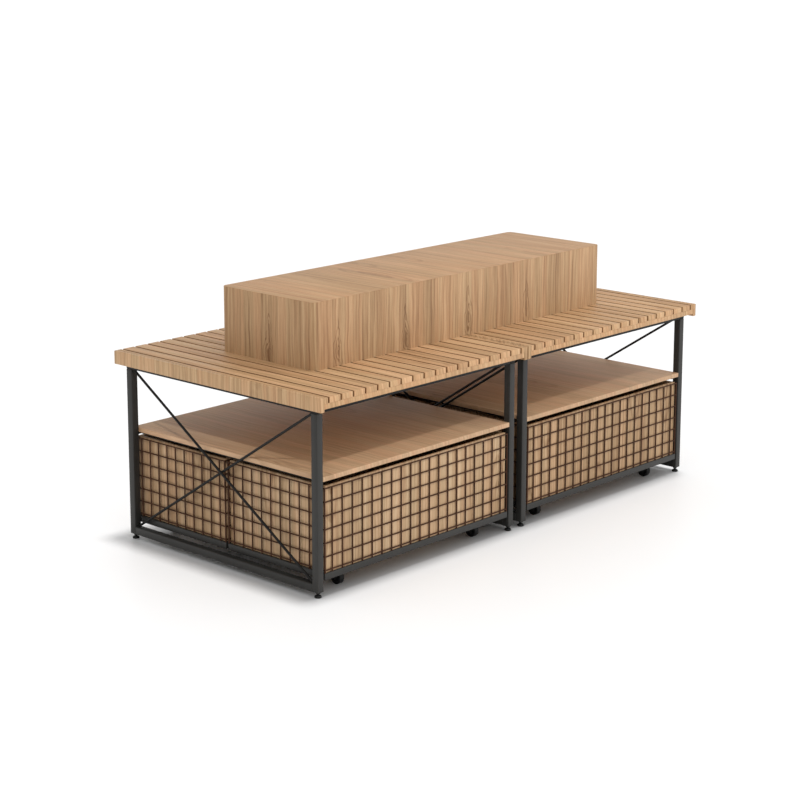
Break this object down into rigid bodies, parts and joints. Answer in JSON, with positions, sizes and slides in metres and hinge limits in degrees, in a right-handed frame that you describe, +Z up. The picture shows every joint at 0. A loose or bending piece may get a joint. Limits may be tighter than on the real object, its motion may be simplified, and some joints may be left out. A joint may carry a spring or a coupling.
{
  "type": "display table",
  "caption": "Shop display table: slatted wood tops on dark steel frames with cross braces, a shelf, wire-caged wood bins on castors below, and a veneered plinth box on top.",
  "frame": {"origin": "on the floor, under the middle of the row of two tables", "axes": "+Z up, X along the row of tables, -Y to the long side that is on the right in the picture"},
  "size_m": [2.286, 1.125, 1.007],
  "materials": {
    "oak": "satin lacquered veneer, straight grain with some cathedral figure",
    "shelf_oak": "satin lacquered veneer",
    "crate_oak": "matt veneered board",
    "dark_steel": "dark grey powder coat, slightly textured",
    "mesh_wire": "dark brown powder coat",
    "wheel_rubber": "matt black tread",
    "foot_plastic": "matt black"
  },
  "bodies": {
    "tables": {"plinth_back": "oak", "plinth_front": "oak", "plinth_left_end": "oak", "plinth_right_end": "oak", "plinth_top": "oak", "table1_left_cross_brace": "dark_steel", "table1_left_end_board": "oak", "table1_left_leg_frame": "dark_steel", "table1_right_cross_brace": "dark_steel", "table1_right_end_board": "oak", "table1_right_leg_frame": "dark_steel", "table1_shelf": "shelf_oak", "table1_slat_top": "oak", "table1_top_frame": "dark_steel", "table2_left_cross_brace": "dark_steel", "table2_left_end_board": "oak", "table2_left_leg_frame": "dark_steel", "table2_right_cross_brace": "dark_steel", "table2_right_end_board": "oak", "table2_right_leg_frame": "dark_steel", "table2_shelf": "shelf_oak", "table2_slat_top": "oak", "table2_top_frame": "dark_steel"},
    "table1_front_bin": {"table1_front_bin_base": "dark_steel", "table1_front_bin_cage": "mesh_wire", "table1_front_bin_crate": "crate_oak"},
    "table1_back_bin": {"table1_back_bin_base": "dark_steel", "table1_back_bin_cage": "mesh_wire", "table1_back_bin_crate": "crate_oak"},
    "table2_front_bin": {"table2_front_bin_base": "dark_steel", "table2_front_bin_cage": "mesh_wire", "table2_front_bin_crate": "crate_oak"},
    "table2_back_bin": {"table2_back_bin_base": "dark_steel", "table2_back_bin_cage": "mesh_wire", "table2_back_bin_crate": "crate_oak"},
    "table1_back_bin_front_left_wheel": {"table1_back_bin_front_left_wheel": "wheel_rubber"},
    "table1_back_bin_front_right_wheel": {"table1_back_bin_front_right_wheel": "wheel_rubber"},
    "table1_back_bin_rear_left_wheel": {"table1_back_bin_rear_left_wheel": "wheel_rubber"},
    "table1_back_bin_rear_right_wheel": {"table1_back_bin_rear_right_wheel": "wheel_rubber"},
    "table1_back_left_foot": {"table1_back_left_foot": "foot_plastic"},
    "table1_back_right_foot": {"table1_back_right_foot": "foot_plastic"},
    "table1_front_bin_front_left_wheel": {"table1_front_bin_front_left_wheel": "wheel_rubber"},
    "table1_front_bin_front_right_wheel": {"table1_front_bin_front_right_wheel": "wheel_rubber"},
    "table1_front_bin_rear_left_wheel": {"table1_front_bin_rear_left_wheel": "wheel_rubber"},
    "table1_front_bin_rear_right_wheel": {"table1_front_bin_rear_right_wheel": "wheel_rubber"},
    "table1_front_left_foot": {"table1_front_left_foot": "foot_plastic"},
    "table1_front_right_foot": {"table1_front_right_foot": "foot_plastic"},
    "table2_back_bin_front_left_wheel": {"table2_back_bin_front_left_wheel": "wheel_rubber"},
    "table2_back_bin_front_right_wheel": {"table2_back_bin_front_right_wheel": "wheel_rubber"},
    "table2_back_bin_rear_left_wheel": {"table2_back_bin_rear_left_wheel": "wheel_rubber"},
    "table2_back_bin_rear_right_wheel": {"table2_back_bin_rear_right_wheel": "wheel_rubber"},
    "table2_back_left_foot": {"table2_back_left_foot": "foot_plastic"},
    "table2_back_right_foot": {"table2_back_right_foot": "foot_plastic"},
    "table2_front_bin_front_left_wheel": {"table2_front_bin_front_left_wheel": "wheel_rubber"},
    "table2_front_bin_front_right_wheel": {"table2_front_bin_front_right_wheel": "wheel_rubber"},
    "table2_front_bin_rear_left_wheel": {"table2_front_bin_rear_left_wheel": "wheel_rubber"},
    "table2_front_bin_rear_right_wheel": {"table2_front_bin_rear_right_wheel": "wheel_rubber"},
    "table2_front_left_foot": {"table2_front_left_foot": "foot_plastic"},
    "table2_front_right_foot": {"table2_front_right_foot": "foot_plastic"}
  },
  "joints": [
    {"name": "table1_front_bin_roll_out", "type": "slide", "parent": "tables", "child": "table1_front_bin", "axis": [0, -1, 0], "range_m": [0, 0.6]},
    {"name": "table1_back_bin_roll_out", "type": "slide", "parent": "tables", "child": "table1_back_bin", "axis": [0, 1, 0], "range_m": [0, 0.6]},
    {"name": "table2_front_bin_roll_out", "type": "slide", "parent": "tables", "child": "table2_front_bin", "axis": [0, -1, 0], "range_m": [0, 0.6]},
    {"name": "table2_back_bin_roll_out", "type": "slide", "parent": "tables", "child": "table2_back_bin", "axis": [0, 1, 0], "range_m": [0, 0.6]},
    {"name": "table1_front_bin_front_left_wheel_turn", "type": "hinge", "parent": "table1_front_bin", "child": "table1_front_bin_front_left_wheel", "pos_m": [-0.951, -0.449, 0.026], "axis": [1, 0, 0], "continuous": true},
    {"name": "table1_front_bin_front_right_wheel_turn", "type": "hinge", "parent": "table1_front_bin", "child": "table1_front_bin_front_right_wheel", "pos_m": [-0.195, -0.449, 0.026], "axis": [1, 0, 0], "continuous": true},
    {"name": "table1_front_bin_rear_left_wheel_turn", "type": "hinge", "parent": "table1_front_bin", "child": "table1_front_bin_rear_left_wheel", "pos_m": [-0.951, -0.075, 0.026], "axis": [1, 0, 0], "continuous": true},
    {"name": "table1_front_bin_rear_right_wheel_turn", "type": "hinge", "parent": "table1_front_bin", "child": "table1_front_bin_rear_right_wheel", "pos_m": [-0.195, -0.075, 0.026], "axis": [1, 0, 0], "continuous": true},
    {"name": "table1_back_bin_front_left_wheel_turn", "type": "hinge", "parent": "table1_back_bin", "child": "table1_back_bin_front_left_wheel", "pos_m": [-0.195, 0.449, 0.026], "axis": [1, 0, 0], "continuous": true},
    {"name": "table1_back_bin_front_right_wheel_turn", "type": "hinge", "parent": "table1_back_bin", "child": "table1_back_bin_front_right_wheel", "pos_m": [-0.951, 0.449, 0.026], "axis": [1, 0, 0], "continuous": true},
    {"name": "table1_back_bin_rear_left_wheel_turn", "type": "hinge", "parent": "table1_back_bin", "child": "table1_back_bin_rear_left_wheel", "pos_m": [-0.195, 0.075, 0.026], "axis": [1, 0, 0], "continuous": true},
    {"name": "table1_back_bin_rear_right_wheel_turn", "type": "hinge", "parent": "table1_back_bin", "child": "table1_back_bin_rear_right_wheel", "pos_m": [-0.951, 0.075, 0.026], "axis": [1, 0, 0], "continuous": true},
    {"name": "table2_front_bin_front_left_wheel_turn", "type": "hinge", "parent": "table2_front_bin", "child": "table2_front_bin_front_left_wheel", "pos_m": [0.195, -0.449, 0.026], "axis": [1, 0, 0], "continuous": true},
    {"name": "table2_front_bin_front_right_wheel_turn", "type": "hinge", "parent": "table2_front_bin", "child": "table2_front_bin_front_right_wheel", "pos_m": [0.951, -0.449, 0.026], "axis": [1, 0, 0], "continuous": true},
    {"name": "table2_front_bin_rear_left_wheel_turn", "type": "hinge", "parent": "table2_front_bin", "child": "table2_front_bin_rear_left_wheel", "pos_m": [0.195, -0.075, 0.026], "axis": [1, 0, 0], "continuous": true},
    {"name": "table2_front_bin_rear_right_wheel_turn", "type": "hinge", "parent": "table2_front_bin", "child": "table2_front_bin_rear_right_wheel", "pos_m": [0.951, -0.075, 0.026], "axis": [1, 0, 0], "continuous": true},
    {"name": "table2_back_bin_front_left_wheel_turn", "type": "hinge", "parent": "table2_back_bin", "child": "table2_back_bin_front_left_wheel", "pos_m": [0.951, 0.449, 0.026], "axis": [1, 0, 0], "continuous": true},
    {"name": "table2_back_bin_front_right_wheel_turn", "type": "hinge", "parent": "table2_back_bin", "child": "table2_back_bin_front_right_wheel", "pos_m": [0.195, 0.449, 0.026], "axis": [1, 0, 0], "continuous": true},
    {"name": "table2_back_bin_rear_left_wheel_turn", "type": "hinge", "parent": "table2_back_bin", "child": "table2_back_bin_rear_left_wheel", "pos_m": [0.951, 0.075, 0.026], "axis": [1, 0, 0], "continuous": true},
    {"name": "table2_back_bin_rear_right_wheel_turn", "type": "hinge", "parent": "table2_back_bin", "child": "table2_back_bin_rear_right_wheel", "pos_m": [0.195, 0.075, 0.026], "axis": [1, 0, 0], "continuous": true},
    {"name": "table1_back_left_foot_screw", "type": "hinge", "parent": "tables", "child": "table1_back_left_foot", "pos_m": [-1.106, 0.5035, 0], "axis": [0, 0, 1], "continuous": true},
    {"name": "table1_back_right_foot_screw", "type": "hinge", "parent": "tables", "child": "table1_back_right_foot", "pos_m": [-0.04, 0.5035, 0], "axis": [0, 0, 1], "continuous": true},
    {"name": "table1_front_left_foot_screw", "type": "hinge", "parent": "tables", "child": "table1_front_left_foot", "pos_m": [-1.106, -0.5035, 0], "axis": [0, 0, 1], "continuous": true},
    {"name": "table1_front_right_foot_screw", "type": "hinge", "parent": "tables", "child": "table1_front_right_foot", "pos_m": [-0.04, -0.5035, 0], "axis": [0, 0, 1], "continuous": true},
    {"name": "table2_back_left_foot_screw", "type": "hinge", "parent": "tables", "child": "table2_back_left_foot", "pos_m": [0.04, 0.5035, 0], "axis": [0, 0, 1], "continuous": true},
    {"name": "table2_back_right_foot_screw", "type": "hinge", "parent": "tables", "child": "table2_back_right_foot", "pos_m": [1.106, 0.5035, 0], "axis": [0, 0, 1], "continuous": true},
    {"name": "table2_front_left_foot_screw", "type": "hinge", "parent": "tables", "child": "table2_front_left_foot", "pos_m": [0.04, -0.5035, 0], "axis": [0, 0, 1], "continuous": true},
    {"name": "table2_front_right_foot_screw", "type": "hinge", "parent": "tables", "child": "table2_front_right_foot", "pos_m": [1.106, -0.5035, 0], "axis": [0, 0, 1], "continuous": true}
  ],
  "couplings": [
    {"joint": "table1_front_bin_front_left_wheel_turn", "follows": "table1_front_bin_roll_out", "rad_per_m": 38.462},
    {"joint": "table1_front_bin_front_right_wheel_turn", "follows": "table1_front_bin_roll_out", "rad_per_m": 38.462},
    {"joint": "table1_front_bin_rear_left_wheel_turn", "follows": "table1_front_bin_roll_out", "rad_per_m": 38.462},
    {"joint": "table1_front_bin_rear_right_wheel_turn", "follows": "table1_front_bin_roll_out", "rad_per_m": 38.462},
    {"joint": "table1_back_bin_front_left_wheel_turn", "follows": "table1_back_bin_roll_out", "rad_per_m": -38.462},
    {"joint": "table1_back_bin_front_right_wheel_turn", "follows": "table1_back_bin_roll_out", "rad_per_m": -38.462},
    {"joint": "table1_back_bin_rear_left_wheel_turn", "follows": "table1_back_bin_roll_out", "rad_per_m": -38.462},
    {"joint": "table1_back_bin_rear_right_wheel_turn", "follows": "table1_back_bin_roll_out", "rad_per_m": -38.462},
    {"joint": "table2_front_bin_front_left_wheel_turn", "follows": "table2_front_bin_roll_out", "rad_per_m": 38.462},
    {"joint": "table2_front_bin_front_right_wheel_turn", "follows": "table2_front_bin_roll_out", "rad_per_m": 38.462},
    {"joint": "table2_front_bin_rear_left_wheel_turn", "follows": "table2_front_bin_roll_out", "rad_per_m": 38.462},
    {"joint": "table2_front_bin_rear_right_wheel_turn", "follows": "table2_front_bin_roll_out", "rad_per_m": 38.462},
    {"joint": "table2_back_bin_front_left_wheel_turn", "follows": "table2_back_bin_roll_out", "rad_per_m": -38.462},
    {"joint": "table2_back_bin_front_right_wheel_turn", "follows": "table2_back_bin_roll_out", "rad_per_m": -38.462},
    {"joint": "table2_back_bin_rear_left_wheel_turn", "follows": "table2_back_bin_roll_out", "rad_per_m": -38.462},
    {"joint": "table2_back_bin_rear_right_wheel_turn", "follows": "table2_back_bin_roll_out", "rad_per_m": -38.462}
  ]
}
